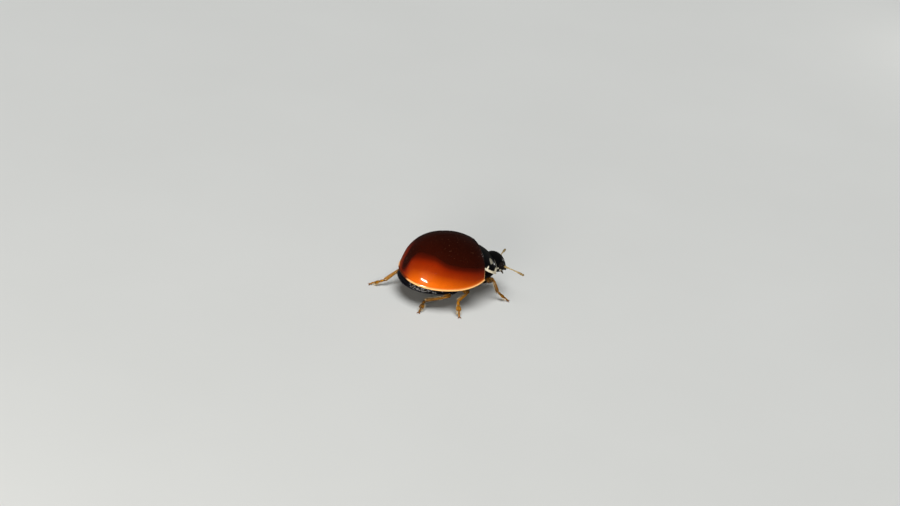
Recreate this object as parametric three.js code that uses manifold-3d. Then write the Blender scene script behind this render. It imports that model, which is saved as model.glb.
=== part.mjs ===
// A polished lady beetle in its walking stance, at life size, standing on a floor at z = 0.
// Millimetres. +X points to the head, +Y to the beetle's left, +Z up.
// The body is made about the middle of the wing cases' rim, and its group lifts it to its height.
// The origin ends up on the floor, under the middle of the whole animal.

import * as THREE from 'three';
import { mergeVertices } from 'three/addons/utils/BufferGeometryUtils.js';
import Module from 'manifold-3d';

const wasm = await Module();
wasm.setup();

// ---------------------------------------------------------------- driving dimensions

const RIM_HEIGHT = 1.26; // rim of the wing cases above the floor
const GAP = 0.02; // between pieces that touch
const RIGHT = -1;
const LEFT = 1;
const SIDES = [['left', LEFT], ['right', RIGHT]];

// Plan outlines are ovals: half lengths to the front and the rear, half width, and the power
// of the oval (2 is an ellipse, more is squarer). Slopes are degrees, nose down.
const ELYTRA = {
  plan: { front: 2.4, rear: 2.22, side: 2.12, power: 2.2 },
  height: 2.04,
  thickness: 0.5,
  marginWidth: 0.1, // flat margin round the dome
  marginRise: 0.05, // foot of the dome above the rim
  edge: 0.06, // thickness of the rim
  // The rim climbs this far towards the pronotum: more of it ahead by one power of the cosine,
  // and less of it up the dome by one power of the distance from the middle.
  shoulder: { rise: 0.42, ahead: 2, outwards: 3 },
};
// The face between the wing cases and the pronotum is hollow and bends back at the shoulders.
const BASE = { x: 1.68, hollow: 0.08, half: 1.2, shoulder: 0.62 };
const SCUTELLUM = { length: 0.34, width: 0.36 };
// The underside is widest at its girth, below the rim, and narrows to its shoulder at the rim.
const ABDOMEN = {
  plan: { front: 2.2, rear: 2.28, side: 1.78, power: 2.3 },
  girth: 0.34,
  depth: 0.74,
  shoulder: 0.9,
};
const THORAX = {
  plan: { front: 2.3, rear: 2.2, side: 1.62, power: 2.4 },
  girth: 0.1,
  depth: 0.44,
  shoulder: 0.98,
};
const WAIST = 0.35; // between the thorax and the abdomen
const PRONOTUM = {
  plan: { front: 1.2, rear: 0.95, side: 1.28, power: 2.4 },
  centre: [1.74, 0, 0.67],
  height: 0.58,
  edge: 0.06,
  slope: 28.5,
  frontMargin: 0.89, // front margin ahead of the centre, along the slope
};
const PROTHORAX = {
  plan: { front: 0.62, rear: 0.6, side: 1.0, power: 2.4 },
  centre: [2.05, 0, 0.2],
  depth: 0.5,
  top: 0.5,
};
const HEAD = { centre: [2.75, 0, 0.42], half: [0.56, 0.68, 0.47], slope: 35 };
const EYE = { centre: [2.86, 0.53, 0.42], half: [0.2, 0.2, 0.24], slope: 32 };
const LABRUM = { centre: [3.26, 0, 0.08], half: [0.15, 0.3, 0.11], slope: 45 };
const PALP = { root: [3.06, 0.32, -0.01], heading: [24, -38], length: 0.2, radii: [0.2, 0.21, 0.22] };
const ANTENNA = { root: [3.2, 0.4, 0.31], heading: [56, -2], length: 0.93, radii: [0.22, 0.22, 0.24] };

// Legs: the hip's place from the middle of the rim, the lengths of the segments between the middles
// of their rounded ends, and the radii at each segment's start, middle and end.
const LEGS = {
  front: { hip: [2.15, 0.4, -0.46], femur: 0.76, tibia: 0.82, tarsus: 0.52 },
  middle: { hip: [0.85, 0.6, -0.56], femur: 1.06, tibia: 0.76, tarsus: 0.72 },
  hind: { hip: [-0.5, 0.7, -0.54], femur: 1.25, tibia: 1.28, tarsus: 0.66 },
};
const COXA_HALF = [0.3, 0.34, 0.26];
const FEMUR_RADII = [0.24, 0.28, 0.25];
const TIBIA_RADII = [0.24, 0.235, 0.25];
const TARSUS_RADII = [0.22, 0.235, 0.23];
const TOE_HEIGHT = 0.17; // middle of the toe's rounded end above the floor

// The stance. Each heading is [degrees outwards from straight ahead, degrees above level].
const STANCE = [
  { name: 'front_right', pair: LEGS.front, side: RIGHT, femur: [67, 31], tibia: [-7, -66], toe: 26 },
  { name: 'middle_right', pair: LEGS.middle, side: RIGHT, femur: [90, 8], tibia: [148, -15], toe: 96 },
  { name: 'hind_right', pair: LEGS.hind, side: RIGHT, femur: [75, 5], tibia: [197, -16], toe: 126 },
  { name: 'front_left', pair: LEGS.front, side: LEFT, femur: [80, 25], tibia: [95, -50], toe: 92 },
  { name: 'middle_left', pair: LEGS.middle, side: LEFT, femur: [75, 8], tibia: [70, -25], toe: 75 },
  { name: 'hind_left', pair: LEGS.hind, side: LEFT, femur: [148, 5], tibia: [197, -25], toe: 158 },
];

const FINISH = {
  shell: new THREE.MeshStandardMaterial({ color: 0xc4460f, roughness: 0.18 }),
  black: new THREE.MeshStandardMaterial({ color: 0x0c0c0f, roughness: 0.3 }),
  eye: new THREE.MeshStandardMaterial({ color: 0x111114, roughness: 0.4 }),
  leg: new THREE.MeshStandardMaterial({ color: 0xa8622a, roughness: 0.45 }),
  feeler: new THREE.MeshStandardMaterial({ color: 0xb58345, roughness: 0.5 }),
};

// How finely round forms are divided: steps round them and from the foot to the top.
const FINE = { round: 40, rise: 7 };
const MEDIUM = { round: 26, rise: 5 };
const SMALL = { round: 12, rise: 3 };
const LIMB = { round: 9, rise: 3 };
const CURVE_STEPS = 8; // along each curved edge of an upright prism

const MERGE_DISTANCE = 1e-5;
const CORE_FLOOR = -0.2; // the trunk's core ends inside the underside
const UNDERSIDE_TOP = 0; // inside the wing cases
const FAR = 6; // beyond every face of the body

// ---------------------------------------------------------------- solids

// A closed geometry becomes a solid. Triangles that shrink to a line at a pole are left out.
function toSolid(geometry) {
  geometry.deleteAttribute('normal');
  geometry.deleteAttribute('uv');
  const merged = mergeVertices(geometry, MERGE_DISTANCE);
  const corners = merged.index.array;
  const kept = [];
  for (let i = 0; i < corners.length; i += 3) {
    const [a, b, c] = corners.slice(i, i + 3);
    if (a !== b && b !== c && c !== a) kept.push(a, b, c);
  }
  return new wasm.Manifold(new wasm.Mesh({
    numProp: 3,
    vertProperties: new Float32Array(merged.attributes.position.array),
    triVerts: new Uint32Array(kept),
  }));
}

const animal = new THREE.Group();

// Crumbs that a neighbour cuts loose are left out, so each piece is its one largest body.
function add(name, solid, material) {
  const bodies = solid.decompose().sort((a, b) => b.volume() - a.volume());
  const { vertProperties, triVerts } = bodies[0].getMesh();
  const geometry = new THREE.BufferGeometry();
  geometry.setAttribute('position', new THREE.BufferAttribute(vertProperties, 3));
  geometry.setIndex(new THREE.BufferAttribute(triVerts, 1));
  geometry.computeVertexNormals();
  const mesh = new THREE.Mesh(geometry, material);
  mesh.name = name;
  animal.add(mesh);
}

// A solid with all that the others hold taken out of it.
function clearOf(solid, ...others) {
  return others.reduce((left, other) => left.subtract(other), solid);
}

const radians = THREE.MathUtils.degToRad;

// A profile of [radius, height] pairs, from the lower pole to the upper one, turned about +Z.
function turned(profile, round) {
  const points = profile.map(([radius, height]) => new THREE.Vector2(radius, height));
  return new THREE.LatheGeometry(points, round).rotateX(Math.PI / 2);
}

// Quarter of a round profile, from its widest point to its pole.
function quarter(radius, widest, pole, steps) {
  const points = [];
  for (let i = 0; i < steps; i += 1) {
    const angle = (i / steps) * (Math.PI / 2);
    points.push([radius * Math.cos(angle), widest + (pole - widest) * Math.sin(angle)]);
  }
  points.push([0, pole]);
  return points;
}

// Distance from the middle of a plan's oval to its outline, in the direction of an angle.
function reach(plan, angle) {
  const ahead = Math.cos(angle);
  const x = Math.abs(ahead) / (ahead > 0 ? plan.front : plan.rear);
  const y = Math.abs(Math.sin(angle)) / plan.side;
  return (x ** plan.power + y ** plan.power) ** (-1 / plan.power);
}

function grownPlan({ front, rear, side, power }, extra) {
  return { front: front + extra, rear: rear + extra, side: side + extra, power };
}

// A profile of radius 1 turned and stretched to a plan; lift raises points by direction and radius.
function overPlan(profile, { round }, plan, lift = () => 0) {
  const geometry = turned(profile, round);
  const place = geometry.attributes.position;
  for (let i = 0; i < place.count; i += 1) {
    const [x, y] = [place.getX(i), place.getY(i)];
    const angle = Math.atan2(y, x);
    const stretch = reach(plan, angle);
    const z = place.getZ(i) + lift(angle, Math.hypot(x, y));
    place.setXYZ(i, x * stretch, y * stretch, z);
  }
  return toSolid(geometry);
}

// A ball with three half sizes, its nose turned down by a slope.
function ball({ centre, half, slope = 0 }, { round, rise }, side = LEFT, extra = 0) {
  const upper = quarter(1, 0, 1, rise);
  const lower = quarter(1, 0, -1, rise).reverse();
  const geometry = turned([...lower, ...upper.slice(1)], round);
  geometry.scale(half[0] + extra, half[1] + extra, half[2] + extra);
  geometry.rotateY(radians(slope));
  geometry.translate(centre[0], centre[1] * side, centre[2]);
  return toSolid(geometry);
}

// A bar with rounded ends between two points, with radii at its start, middle and end.
function bar(start, end, radii, extra = 0) {
  const length = start.distanceTo(end);
  const [first, middle, last] = radii.map((radius) => radius + extra);
  const profile = [
    ...quarter(first, 0, -first, LIMB.rise).reverse(),
    [middle, length / 2],
    ...quarter(last, length, length + last, LIMB.rise),
  ];
  const along = end.clone().sub(start).normalize();
  const turn = new THREE.Quaternion().setFromUnitVectors(new THREE.Vector3(0, 0, 1), along);
  const geometry = turned(profile, LIMB.round).applyQuaternion(turn);
  return toSolid(geometry.translate(start.x, start.y, start.z));
}

function box(min, max) {
  const size = max.map((value, axis) => value - min[axis]);
  const geometry = new THREE.BoxGeometry(...size);
  return toSolid(geometry.translate(...min.map((value, axis) => value + size[axis] / 2)));
}

// An upright prism over a closed plan shape, as tall as the body.
function prism(shape) {
  const options = { depth: 2 * FAR, bevelEnabled: false, curveSegments: CURVE_STEPS };
  return toSolid(new THREE.ExtrudeGeometry(shape, options).translate(0, 0, -FAR));
}

// The direction of a heading, [degrees outwards, degrees above level], on one side of the body.
function direction([outwards, above], side) {
  const level = Math.cos(radians(above));
  return new THREE.Vector3(
    level * Math.cos(radians(outwards)),
    level * Math.sin(radians(outwards)) * side,
    Math.sin(radians(above)),
  );
}

function place([x, y, z], side) {
  return new THREE.Vector3(x, y * side, z);
}

// ---------------------------------------------------------------- wing cases and trunk

// The rim climbs towards the shoulders while the top of the dome stays level.
function shoulderLift(angle, radius) {
  const { rise, ahead, outwards } = ELYTRA.shoulder;
  return rise * Math.max(0, Math.cos(angle)) ** ahead * radius ** outwards;
}

function elytraDome(extra = 0) {
  const { plan, height, edge, marginWidth, marginRise } = ELYTRA;
  const foot = 1 - marginWidth / plan.side;
  const under = -edge / 2 - extra;
  const profile = [
    [0, under],
    [foot, under],
    [1, under],
    [1, edge / 2 + extra],
    ...quarter(foot, marginRise + extra, height + extra, FINE.rise),
  ];
  return overPlan(profile, FINE, grownPlan(plan, extra), shoulderLift);
}

// The trunk fills the wing cases up to their inner face.
function trunkCore(extra = 0) {
  const { plan, height, thickness } = ELYTRA;
  const profile = [
    [0, CORE_FLOOR],
    [1, CORE_FLOOR],
    ...quarter(1, 0, height - thickness + extra, MEDIUM.rise),
  ];
  return overPlan(profile, MEDIUM, grownPlan(plan, extra - thickness), shoulderLift);
}

// The underside bulges below the rim; where it meets the wing cases they cut its top off.
function underside({ plan, girth, depth, shoulder }, extra = 0) {
  const profile = [
    ...quarter(1, -girth, -depth - extra, MEDIUM.rise).reverse(),
    [shoulder, UNDERSIDE_TOP],
    [0, UNDERSIDE_TOP],
  ];
  return overPlan(profile, MEDIUM, grownPlan(plan, extra), shoulderLift);
}

// Everything ahead of the base of the wing cases.
function aheadOfBase(extra = 0) {
  const corner = BASE.x + BASE.hollow + extra;
  const back = corner - BASE.shoulder;
  const wide = ELYTRA.plan.side;
  const shape = new THREE.Shape();
  shape.moveTo(back, -wide);
  shape.quadraticCurveTo(corner, -wide + BASE.shoulder / 2, corner, -BASE.half);
  shape.quadraticCurveTo(corner - 2 * BASE.hollow, 0, corner, BASE.half);
  shape.quadraticCurveTo(corner, wide - BASE.shoulder / 2, back, wide);
  shape.lineTo(FAR, wide);
  shape.lineTo(FAR, -wide);
  shape.closePath();
  return prism(shape);
}

function scutellumPrism(extra = 0) {
  const half = SCUTELLUM.width / 2 + extra;
  const tip = BASE.x - SCUTELLUM.length - extra;
  const shape = new THREE.Shape();
  shape.moveTo(tip, 0);
  shape.lineTo(BASE.x + BASE.hollow, -half);
  shape.lineTo(BASE.x + BASE.hollow, half);
  shape.closePath();
  return prism(shape);
}

function slab(axis, from, to) {
  const min = [-FAR, -FAR, -FAR];
  const max = [FAR, FAR, FAR];
  min[axis] = from;
  max[axis] = to;
  return box(min, max);
}

function buildWingCases() {
  const shells = clearOf(elytraDome(), trunkCore(GAP), aheadOfBase());
  add('scutellum', shells.intersect(scutellumPrism()), FINISH.black);
  const halves = shells.subtract(scutellumPrism(GAP));
  add('elytron_left', halves.intersect(slab(1, GAP / 2, FAR)), FINISH.shell);
  add('elytron_right', halves.intersect(slab(1, -FAR, -GAP / 2)), FINISH.shell);
}

function buildTrunk() {
  const core = trunkCore();
  const cover = elytraDome(GAP).subtract(core);
  const pieces = [
    ['abdomen', ABDOMEN, slab(0, -FAR, WAIST - GAP / 2)],
    ['thorax', THORAX, slab(0, WAIST + GAP / 2, FAR)],
  ];
  for (const [name, form, share] of pieces) {
    const lower = underside(form).subtract(cover);
    add(name, core.add(lower).intersect(share).subtract(aheadOfBase()), FINISH.black);
  }
}

// ---------------------------------------------------------------- pronotum and head

function tilted(solid, { centre, slope = 0 }) {
  return solid.rotate([0, slope, 0]).translate(centre);
}

function pronotumForm(extra = 0) {
  const { plan, height, edge, frontMargin } = PRONOTUM;
  const profile = [
    [0, -edge / 2 - extra],
    [1, -edge / 2 - extra],
    ...quarter(1, edge / 2 + extra, height + extra, MEDIUM.rise),
  ];
  const whole = overPlan(profile, MEDIUM, grownPlan(plan, extra));
  return tilted(whole.subtract(slab(0, frontMargin + extra, FAR)), PRONOTUM);
}

function prothoraxForm(extra = 0) {
  const { plan, depth, top } = PROTHORAX;
  const profile = [...quarter(1, 0, -depth - extra, MEDIUM.rise).reverse(), [1, top], [0, top]];
  return tilted(overPlan(profile, MEDIUM, grownPlan(plan, extra)), PROTHORAX);
}

function buildFront() {
  const behindBase = aheadOfBase(GAP);
  const head = ball(HEAD, MEDIUM);
  const headSpace = ball(HEAD, MEDIUM, LEFT, GAP);
  const eyeSpaces = SIDES.map(([, side]) => ball(EYE, SMALL, side, GAP));
  const labrumSpace = ball(LABRUM, SMALL, LEFT, GAP);

  const pronotum = pronotumForm().intersect(behindBase);
  add('pronotum', clearOf(pronotum, headSpace, ...eyeSpaces), FINISH.black);
  const prothorax = prothoraxForm().intersect(behindBase);
  add('prothorax', clearOf(prothorax, pronotumForm(GAP), headSpace, ...eyeSpaces), FINISH.black);
  add('head', clearOf(head, ...eyeSpaces), FINISH.black);
  add('labrum', clearOf(ball(LABRUM, SMALL), headSpace), FINISH.black);

  for (const [name, side] of SIDES) {
    add(`eye_${name}`, ball(EYE, SMALL, side), FINISH.eye);
    const around = [headSpace, labrumSpace, ...eyeSpaces, prothoraxForm(GAP)];
    add(`palp_${name}`, clearOf(feeler(PALP, side), ...around), FINISH.feeler);
    add(`antenna_${name}`, clearOf(feeler(ANTENNA, side), ...around), FINISH.feeler);
  }
}

function feeler({ root, heading, length, radii }, side) {
  const start = place(root, side);
  return bar(start, start.clone().addScaledVector(direction(heading, side), length), radii);
}

// ---------------------------------------------------------------- legs

// The space that the body takes up, with the gap that the legs keep to it.
function bodySpace() {
  const abdomen = underside(ABDOMEN, GAP).intersect(slab(0, -FAR, WAIST));
  const thorax = underside(THORAX, GAP).intersect(slab(0, WAIST, FAR)).subtract(aheadOfBase(GAP));
  return wasm.Manifold.union([
    elytraDome(GAP),
    abdomen,
    thorax,
    pronotumForm(GAP),
    prothoraxForm(GAP),
    ball(HEAD, MEDIUM, LEFT, GAP),
  ]);
}

function buildLegs() {
  const taken = bodySpace();
  const floor = slab(2, -FAR, -RIM_HEIGHT);
  const toeLevel = TOE_HEIGHT - RIM_HEIGHT;
  for (const { name, pair, side, femur, tibia, toe } of STANCE) {
    const hip = place(pair.hip, side);
    const knee = hip.clone().addScaledVector(direction(femur, side), pair.femur);
    const ankle = knee.clone().addScaledVector(direction(tibia, side), pair.tibia);
    const drop = THREE.MathUtils.radToDeg(Math.asin((toeLevel - ankle.z) / pair.tarsus));
    const tip = ankle.clone().addScaledVector(direction([toe, drop], side), pair.tarsus);

    const coxa = { centre: pair.hip, half: COXA_HALF };
    const segments = [
      ['coxa', (extra) => ball(coxa, SMALL, side, extra)],
      ['femur', (extra) => bar(hip, knee, FEMUR_RADII, extra)],
      ['tibia', (extra) => bar(knee, ankle, TIBIA_RADII, extra)],
      ['tarsus', (extra) => bar(ankle, tip, TARSUS_RADII, extra)],
    ];
    let nearer = taken;
    for (const [segment, form] of segments) {
      add(`${segment}_${name}`, clearOf(form(0), nearer, floor), FINISH.leg);
      nearer = nearer.add(form(GAP));
    }
  }
}

// ---------------------------------------------------------------- the whole animal

buildWingCases();
buildTrunk();
buildFront();
buildLegs();

// The origin goes to the floor, under the middle of the animal's box.
const bounds = new THREE.Box3().setFromObject(animal);
const middle = bounds.getCenter(new THREE.Vector3());
animal.position.set(-middle.x, -middle.y, RIM_HEIGHT);

export default animal;
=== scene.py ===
import math
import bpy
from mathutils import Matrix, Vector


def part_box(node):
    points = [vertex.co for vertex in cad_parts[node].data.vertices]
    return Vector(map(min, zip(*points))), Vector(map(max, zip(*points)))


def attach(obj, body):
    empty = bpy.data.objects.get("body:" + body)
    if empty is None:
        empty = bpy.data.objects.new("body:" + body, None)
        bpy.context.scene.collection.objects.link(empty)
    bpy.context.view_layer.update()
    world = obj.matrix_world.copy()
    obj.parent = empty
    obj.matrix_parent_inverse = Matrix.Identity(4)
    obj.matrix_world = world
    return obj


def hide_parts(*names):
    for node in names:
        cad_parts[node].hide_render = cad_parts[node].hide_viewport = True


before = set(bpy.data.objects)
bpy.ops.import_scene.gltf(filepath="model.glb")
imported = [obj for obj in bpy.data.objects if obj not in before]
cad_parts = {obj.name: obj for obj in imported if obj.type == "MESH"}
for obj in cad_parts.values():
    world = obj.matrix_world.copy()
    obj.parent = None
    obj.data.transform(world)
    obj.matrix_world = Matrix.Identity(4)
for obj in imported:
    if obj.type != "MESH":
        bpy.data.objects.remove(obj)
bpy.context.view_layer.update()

from types import SimpleNamespace as dims

import bmesh
import bpy
import numpy as np
from mathutils import Matrix, Vector

# A polished lady beetle at life size, dressed round its frame.
# Forms are made in millimetres about the middle of the wing cases' rim, which the frame gives,
# with +X to the head, +Y to the beetle's left and +Z up, and a piece is laid in metres.
# Slopes and turns are in degrees. Sizes without a unit are millimetres, or shares of a whole.

MM = 0.001
TURN = 2 * math.pi
SIDES = {"left": 1, "right": -1}

# ---- the wing cases' dimensions

# the rim climbs to the shoulders
SHELL = dims(front=2.4, rear=2.22, side=2.12, power=2.2, height=2.04, edge=0.06,
             margin=0.1, foot_rise=0.05, thickness=0.09, suture_gap=0.006, suture_round=0.035,
             base_round=0.07, climb=0.42, tuck=0.33, flare=0.06, flare_top=0.32)
BASE = dims(x=1.68, hollow=0.08, half=1.2, shoulder=0.62, bend=2.6, clearance=0.015)
SCUTELLUM = dims(length=0.34, width=0.36, gap=0.012, rise=0.012, sunk=0.02, thickness=0.12)

# ---- place of the body in the frame

right_low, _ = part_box("elytron_right")
_, left_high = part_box("elytron_left")
RIM = Vector((
    right_low.x + SHELL.rear * MM,
    (right_low.y + left_high.y) / 2,
    right_low.z + SHELL.edge / 2 * MM,
))
FLOOR = -RIM.z / MM  # the floor's height about the rim, in millimetres
rng = np.random.default_rng(7)


# ---- numbers and grids

def vec(*values):
    return np.array(values, float)


def stack(*parts):
    """Points from their coordinates, or faces from their corners."""
    return np.stack(np.broadcast_arrays(*parts), -1)


def at_side(place, side):
    """A place, mirrored to a side."""
    return place * vec(1, side, 1)


def unit(v):
    v = np.asarray(v, float)
    return v / np.maximum(np.linalg.norm(v, axis=-1, keepdims=True), 1e-12)


def clamp(value):
    return np.clip(value, 0, 1)


def distance(points, place=0):
    return np.linalg.norm(points - place, axis=1)


def ease(low, high, value):
    """0 at low and 1 at high, with soft ends; low may be the larger."""
    t = clamp((value - low) / (high - low))
    return t * t * (3 - 2 * t)


def bell(value, middle, width):
    """1 at the middle, fading to 0 over a few widths."""
    return np.exp(-((value - middle) / width) ** 2)


def plateau(value, width):
    """About 1 inside a width and 0 beyond it."""
    return np.exp(-(value / width) ** 4)


def down(low, high, count):
    """Even values for the rows of a grid, or turned over for its columns."""
    return np.linspace(low, high, count)[:, None]


def round_turn(count):
    """Even angles round a turn, for a closed grid's columns."""
    return np.linspace(0, TURN, count, endpoint=False)[None, :]


def sine_cosine(degrees):
    return math.sin(math.radians(degrees)), math.cos(math.radians(degrees))


def tilted(points, slope):
    """Points turned nose down about the middle by a slope."""
    s, c = sine_cosine(slope)
    x, y, z = np.moveaxis(points, -1, 0)
    return stack(x * c + z * s, y, z * c - x * s)


def placed(points, part):
    return tilted(points, part.slope) + part.centre


def levelled(points, part):
    """Undoes placed()."""
    return tilted(points - part.centre, -part.slope)


def bezier(values, t):
    """A Bezier curve through its first and last value, pulled by those between."""
    values = np.asarray(values, float)
    t = np.asarray(t, float)
    order = len(values) - 1
    weights = [math.comb(order, k) * t ** k * (1 - t) ** (order - k) for k in range(order + 1)]
    return sum(w[..., None] * v if values.ndim > 1 else w * v for w, v in zip(weights, values))


# ---- meshes

def quads(rows, columns, closed=False):
    """Faces of a grid of points; a closed grid joins its last column to its first."""
    row = columns * np.arange(rows - 1)[:, None]
    c = np.arange(columns if closed else columns - 1)
    n = (c + 1) % columns
    return stack(row + c, row + columns + c, row + columns + n, row + n).reshape(-1, 4)


def plate_form(outer, inner):
    """A closed plate between an outer grid and an inner grid of the same size."""
    top = quads(*outer.shape[:2])
    index = np.arange(outer[..., 0].size).reshape(outer.shape[:2])
    walls = [stack(edge[:-1], edge[1:], edge[1:] + index.size, edge[:-1] + index.size)
             for edge in (index[0], index[:, -1], index[-1, ::-1], index[::-1, 0])]
    points = np.concatenate([outer.reshape(-1, 3), inner.reshape(-1, 3)])
    return points, np.concatenate([top, top[:, ::-1] + index.size, *walls])


def tube_form(rings):
    """A tube through closed rings, with a fan of triangles over each end."""
    rows, columns = rings.shape[:2]
    points = np.concatenate([rings.reshape(-1, 3), [rings[0].mean(0), rings[-1].mean(0)]])
    count, end = rows * columns, (rows - 1) * columns
    c = np.arange(columns)
    n = (c + 1) % columns
    fans = stack(count, c, n, n), stack(count + 1, end + n, end + c, end + c)
    return points, np.concatenate([quads(rows, columns, closed=True), *fans])


def joined(forms):
    points, faces = zip(*forms)
    starts = np.cumsum([0, *map(len, points)])
    return np.concatenate(points), np.concatenate([f + s for f, s in zip(faces, starts)])


def limb(path, widths, flat=1.0, up=(0, 0, 1), rings=18, around=18):
    """A rounded rod along a Bezier path, with Bezier widths; flat squashes it along up."""
    t = 0.5 - 0.5 * np.cos(np.linspace(0, np.pi, rings))
    centres = bezier(path, t)
    length = distance(np.diff(centres, axis=0)).sum()
    start = clamp(1 - t * length / widths[0])
    end = clamp(1 - (1 - t) * length / widths[-1])
    radius = bezier(widths, t) * np.sqrt((1 - start ** 2) * (1 - end ** 2))
    along = unit(np.gradient(centres, axis=0))
    side = unit(np.cross(along, up))
    above = np.cross(side, along)
    angle = round_turn(around)[..., None]
    ring = side[:, None] * np.cos(angle) + above[:, None] * np.sin(angle) * flat
    return tube_form(centres[:, None] + ring * radius[:, None, None])


def ball_points(rows, columns):
    """A ball's grid, its pole ahead."""
    a, b = down(0, np.pi, rows), round_turn(columns)
    return stack(np.cos(a), np.sin(a) * np.cos(b), np.sin(a) * np.sin(b))


# ---- pieces

def raw_mesh(name, form):
    """A mesh in metres in the frame, from a form in millimetres."""
    points, faces = form
    mesh = bpy.data.meshes.new(name)
    polygons = [tuple(dict.fromkeys(face)) for face in faces.tolist()]
    places = points * MM + np.array(RIM)
    mesh.from_pydata(places.tolist(), [], [p for p in polygons if len(p) > 2])
    return mesh


def clean_mesh(name, form, weld):
    """A mesh with its seams welded, no slivers, and its faces turned out."""
    mesh = raw_mesh(name, form)
    work = bmesh.new()
    work.from_mesh(mesh)
    bmesh.ops.remove_doubles(work, verts=work.verts, dist=weld * MM)
    bmesh.ops.dissolve_degenerate(work, edges=work.edges, dist=weld * MM / 4)
    bmesh.ops.recalc_face_normals(work, faces=work.faces)
    work.to_mesh(mesh)
    work.free()
    return mesh


def in_scene(name, data):
    made = bpy.data.objects.new(name, data)
    bpy.context.scene.collection.objects.link(made)
    return made


def on_body(name, mesh, finish):
    """A smooth piece that rides on the body."""
    mesh.polygons.foreach_set("use_smooth", [True] * len(mesh.polygons))
    mesh.materials.append(finish)
    made = in_scene(name, mesh)
    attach(made, "root")
    return made


def piece(name, form, nodes, finish, marks=None, weld=0.0004):
    """A finished piece: it stands for its nodes, and marks paint it by place."""
    mesh = clean_mesh(name, form, weld)
    places = np.zeros(len(mesh.vertices) * 3)
    mesh.vertices.foreach_get("co", places)
    places = (places.reshape(-1, 3) - np.array(RIM)) / MM
    for mark, paint in (marks or {}).items():
        layer = mesh.attributes.new(mark, "FLOAT", "POINT")
        layer.data.foreach_set("value", paint(places).astype(np.float32))
    made = on_body(name, mesh, finish)
    if nodes:
        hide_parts(*nodes)


# ---- material parts

def surface(name, colour, sockets, bump=None):
    """A material: its colour's tree, even shader values, and a bump's relief, size and depth."""
    made = bpy.data.materials.new(name)
    made.use_nodes = True
    tree = made.node_tree
    shader = tree.nodes["Principled BSDF"]
    tree.links.new(colour(tree), shader.inputs["Base Color"])
    for socket, value in sockets.items():
        shader.inputs[socket].default_value = value
    if bump:
        relief, size, depth, strength = bump
        inputs = {"Height": relief(tree, size), "Distance": depth * MM, "Strength": strength}
        tree.links.new(node(tree, "Bump", "Normal", inputs), shader.inputs["Normal"])
    return made


def node(tree, kind, output, inputs, **settings):
    """A shader node's output; its inputs take values or outputs."""
    made = tree.nodes.new("ShaderNode" + kind)
    for setting, value in settings.items():
        setattr(made, setting, value)
    for socket, value in inputs.items():
        if isinstance(value, bpy.types.NodeSocket):
            tree.links.new(value, made.inputs[socket])
        else:
            made.inputs[socket].default_value = (*value, 1) if isinstance(value, tuple) else value
    return made.outputs[output]


def texture(tree, kind, output, scale, **inputs):
    """A texture fixed to the body, with features so many millimetres across."""
    place = node(tree, "TexCoord", "Object", {})
    return node(tree, kind, output, {"Vector": place, "Scale": 1 / (scale * MM), **inputs})


def noise(tree, scale, detail=3.0):
    return texture(tree, "TexNoise", "Fac", scale, Detail=detail, Roughness=0.55)


def grain(tree, scale):
    return noise(tree, scale, 4.0)


def threshold(tree, value, low, high):
    """0 below low and 1 above high."""
    ends = {"From Min": low, "From Max": high}
    return node(tree, "MapRange", "Result", {"Value": value, **ends})


def pits(tree, spacing):
    """Fine punctures all over a plate: 0 in each pit, 1 between them."""
    return threshold(tree, texture(tree, "TexVoronoi", "Distance", spacing), 0.12, 0.42)


def mix(tree, factor, low, high, kind="MIX"):
    """Two colours mixed by a number or by an output."""
    inputs = {0: factor, 6: low, 7: high}
    return node(tree, "Mix", 2, inputs, data_type="RGBA", blend_type=kind)


def mottled(tree, scale, colours, detail=3.0):
    """A colour that wanders between two."""
    return mix(tree, noise(tree, scale, detail), *colours)


def darkened(tree, factor, colour, amount):
    """A colour that is darker where the factor is low."""
    return mix(tree, 1, colour, mix(tree, factor, (1 - amount,) * 3, (1, 1, 1)), "MULTIPLY")


def mark(tree, name):
    """A painted mark, 0 to 1, that a mesh carries."""
    return node(tree, "Attribute", "Fac", {}, attribute_name=name)


def ramp(tree, factor, stops):
    colour = node(tree, "ValToRGB", "Color", {"Fac": factor})
    elements = colour.node.color_ramp.elements
    for _ in stops[2:]:
        elements.new(0.5)
    for element, (position, shade) in zip(elements, stops):
        element.position, element.color = position, (*shade, 1)
    return colour


# ---- materials

def gloss(roughness, coat, coat_roughness, **others):
    """Shader values, whose names stand with _ for a space."""
    values = dict(Roughness=roughness, Coat_Weight=coat, Coat_Roughness=coat_roughness, **others)
    return {name.replace("_", " "): value for name, value in values.items()}


# the wing cases' colour by depth, a painted shade: orange at the rim, deep maroon on top where the
# dome lies in painted shade
SHELL_SHADE_RAMP = (
    (0.0, (0.84, 0.155, 0.003)), (0.12, (0.64, 0.098, 0.001)), (0.3, (0.32, 0.029, 0.0005)),
    (0.42, (0.22, 0.014, 0.0004)), (0.5, (0.085, 0.005, 0.0004)),
    (0.58, (0.027, 0.0024, 0.0003)), (0.9, (0.019, 0.002, 0.0003)),
)
# flecks of dust and painted reflection, the rim's painted highlight, and painted shade under the
# rim
FLECK_DUST_AND_GLINT, RIM_HIGHLIGHT, UNDER_RIM_SHADE = (0.09, 0.036, 0.017), (0.9, 0.52, 0.2), (0.09, 0.016, 0.003)
IVORY = ((0.78, 0.68, 0.48), (0.93, 0.87, 0.7))
LEG_GOLD, LEG_DARK = (0.33, 0.135, 0.01), (0.012, 0.006, 0.003)
FEELER_PALE, FEELER_DARK = (0.47, 0.33, 0.14), (0.06, 0.03, 0.012)
HAIR = {"Roughness": 0.4, "Sheen Weight": 0.2}
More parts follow.
